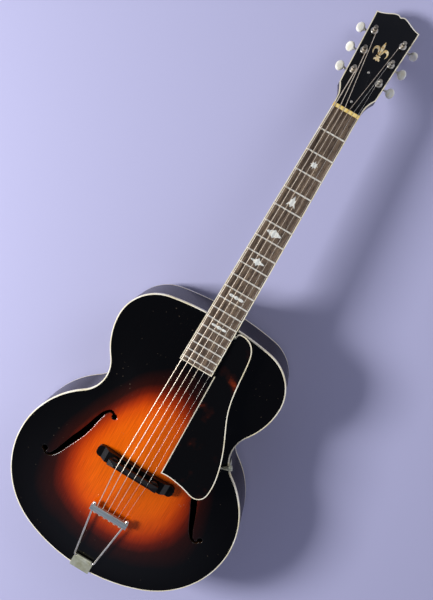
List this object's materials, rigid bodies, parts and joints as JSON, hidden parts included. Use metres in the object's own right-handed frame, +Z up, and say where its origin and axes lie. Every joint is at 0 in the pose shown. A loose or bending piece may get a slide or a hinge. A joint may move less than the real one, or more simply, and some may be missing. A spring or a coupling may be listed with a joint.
{
  "type": "archtop guitar",
  "caption": "Arched-top acoustic guitar with f-shaped sound holes, a trapeze tailpiece, a height-adjustable floating bridge, a raised pickguard and geared tuning keys.",
  "frame": {"origin": "centre of the overall box in plan, on the floor that the arched back rests on", "axes": "+Z up out of the carved top, +Y from the tail to the headstock, +X to the treble side"},
  "size_m": [0.404, 1.0412, 0.1521],
  "materials": {
    "sunburst_top": "gloss lacquer shaded from orange to near black",
    "dark_lacquered_wood": "gloss dark brown lacquer",
    "bare_wood": "unfinished",
    "cream_plastic": "aged gloss",
    "bone": "polished bone",
    "rosewood": "oiled",
    "ebony": "satin",
    "pearl": "polished shell",
    "black_lacquer": "gloss black lacquer",
    "black_plastic": "gloss",
    "tortoise_plastic": "gloss, mottled red brown",
    "nickel": "polished nickel plate, a little worn",
    "end_pin_plastic": "aged gloss",
    "steel": "drawn wire and bare rod",
    "bronze_wrap": "wrapped wire"
  },
  "bodies": {
    "guitar": {"top_plate": "sunburst_top", "back_plate": "dark_lacquered_wood", "rib_treble": "dark_lacquered_wood", "rib_bass": "dark_lacquered_wood", "top_binding": "cream_plastic", "back_binding": "cream_plastic", "linings": "bare_wood", "neck_block": "bare_wood", "tail_block": "bare_wood", "tone_bars": "bare_wood", "neck": "dark_lacquered_wood", "heel_cap": "dark_lacquered_wood", "truss_rod": "steel", "truss_rod_nut": "steel", "fingerboard": "rosewood", "fingerboard_binding": "cream_plastic", "frets": "nickel", "fret_markers": "pearl", "string_1": "steel", "string_2": "steel", "string_3": "bronze_wrap", "string_4": "bronze_wrap", "string_5": "bronze_wrap", "string_6": "bronze_wrap", "nut": "bone", "headstock_veneer": "black_lacquer", "headstock_binding": "cream_plastic", "headstock_inlay": "pearl", "truss_rod_cover": "black_plastic", "headstock_screws": "nickel", "tuner_bushings": "nickel", "tuner_plates": "nickel", "bridge_base": "ebony", "bridge_studs": "nickel", "tailpiece_bracket": "nickel", "string_tails": "bronze_wrap", "tailpiece_screws": "nickel", "end_pin": "end_pin_plastic", "pickguard": "tortoise_plastic", "pickguard_binding": "cream_plastic", "pickguard_bracket": "nickel", "pickguard_fasteners": "nickel"},
    "key_1": {"tuner_key_1": "cream_plastic"},
    "key_2": {"tuner_key_2": "cream_plastic"},
    "key_3": {"tuner_key_3": "cream_plastic"},
    "key_4": {"tuner_key_4": "cream_plastic"},
    "key_5": {"tuner_key_5": "cream_plastic"},
    "key_6": {"tuner_key_6": "cream_plastic"},
    "post_1": {"tuner_post_1": "nickel"},
    "post_2": {"tuner_post_2": "nickel"},
    "post_3": {"tuner_post_3": "nickel"},
    "post_4": {"tuner_post_4": "nickel"},
    "post_5": {"tuner_post_5": "nickel"},
    "post_6": {"tuner_post_6": "nickel"},
    "saddle": {"bridge_saddle": "ebony"},
    "wheel_bass": {"thumbwheel_bass": "nickel"},
    "wheel_treble": {"thumbwheel_treble": "nickel"},
    "tailpiece": {"tailpiece_frame": "nickel", "tailpiece_crossbar": "nickel", "tailpiece_nuts": "nickel"}
  },
  "joints": [
    {"name": "key_1_turn", "type": "hinge", "parent": "guitar", "child": "key_1", "pos_m": [0.0214, 0.4162, 0.04216], "axis": [1, 0, 0], "continuous": true},
    {"name": "post_1_turn", "type": "hinge", "parent": "guitar", "child": "post_1", "pos_m": [0.0214, 0.41734, 0.0642], "axis": [0, 0.3567, 0.9342], "continuous": true, "deforming": ["string_1"]},
    {"name": "key_2_turn", "type": "hinge", "parent": "guitar", "child": "key_2", "pos_m": [0.0227, 0.44871, 0.02974], "axis": [1, 0, 0], "continuous": true},
    {"name": "post_2_turn", "type": "hinge", "parent": "guitar", "child": "post_2", "pos_m": [0.0227, 0.44985, 0.05179], "axis": [0, 0.3567, 0.9342], "continuous": true, "deforming": ["string_2"]},
    {"name": "key_3_turn", "type": "hinge", "parent": "guitar", "child": "key_3", "pos_m": [0.024, 0.48122, 0.01733], "axis": [1, 0, 0], "continuous": true},
    {"name": "post_3_turn", "type": "hinge", "parent": "guitar", "child": "post_3", "pos_m": [0.024, 0.48236, 0.03937], "axis": [0, 0.3567, 0.9342], "continuous": true, "deforming": ["string_3"]},
    {"name": "key_4_turn", "type": "hinge", "parent": "guitar", "child": "key_4", "pos_m": [-0.024, 0.48122, 0.01733], "axis": [1, 0, 0], "continuous": true},
    {"name": "post_4_turn", "type": "hinge", "parent": "guitar", "child": "post_4", "pos_m": [-0.024, 0.48236, 0.03937], "axis": [0, 0.3567, 0.9342], "continuous": true, "deforming": ["string_4"]},
    {"name": "key_5_turn", "type": "hinge", "parent": "guitar", "child": "key_5", "pos_m": [-0.0227, 0.44871, 0.02974], "axis": [1, 0, 0], "continuous": true},
    {"name": "post_5_turn", "type": "hinge", "parent": "guitar", "child": "post_5", "pos_m": [-0.0227, 0.44985, 0.05179], "axis": [0, 0.3567, 0.9342], "continuous": true, "deforming": ["string_5"]},
    {"name": "key_6_turn", "type": "hinge", "parent": "guitar", "child": "key_6", "pos_m": [-0.0214, 0.4162, 0.04216], "axis": [1, 0, 0], "continuous": true},
    {"name": "post_6_turn", "type": "hinge", "parent": "guitar", "child": "post_6", "pos_m": [-0.0214, 0.41734, 0.0642], "axis": [0, 0.3567, 0.9342], "continuous": true, "deforming": ["string_6"]},
    {"name": "saddle_lift", "type": "slide", "parent": "guitar", "child": "saddle", "axis": [0, 0, 1], "range_m": [-0.00238, 0.00159], "deforming": ["string_1", "string_2", "string_3", "string_4", "string_5", "string_6", "string_tails"]},
    {"name": "wheel_bass_turn", "type": "hinge", "parent": "saddle", "child": "wheel_bass", "pos_m": [-0.0365, -0.28398, 0.13844], "axis": [0, 0, 1], "range_deg": [-1080.1, 720.1]},
    {"name": "wheel_treble_turn", "type": "hinge", "parent": "saddle", "child": "wheel_treble", "pos_m": [0.0365, -0.28398, 0.13844], "axis": [0, 0, 1], "range_deg": [-1080.1, 720.1]},
    {"name": "tailpiece_swing", "type": "hinge", "parent": "guitar", "child": "tailpiece", "pos_m": [0, -0.48347, 0.1104], "axis": [1, 0, 0], "range_deg": [-1, 5], "stiffness_Nm_per_rad": 30, "springref_deg": 0.1, "deforming": ["string_tails"]}
  ],
  "couplings": [
    {"joint": "post_1_turn", "follows": "key_1_turn", "ratio": 0.083333},
    {"joint": "post_2_turn", "follows": "key_2_turn", "ratio": 0.083333},
    {"joint": "post_3_turn", "follows": "key_3_turn", "ratio": 0.083333},
    {"joint": "post_4_turn", "follows": "key_4_turn", "ratio": -0.083333},
    {"joint": "post_5_turn", "follows": "key_5_turn", "ratio": -0.083333},
    {"joint": "post_6_turn", "follows": "key_6_turn", "ratio": -0.083333},
    {"joint": "wheel_bass_turn", "follows": "saddle_lift", "rad_per_m": 7913.3},
    {"joint": "wheel_treble_turn", "follows": "saddle_lift", "rad_per_m": 7913.3}
  ]
}
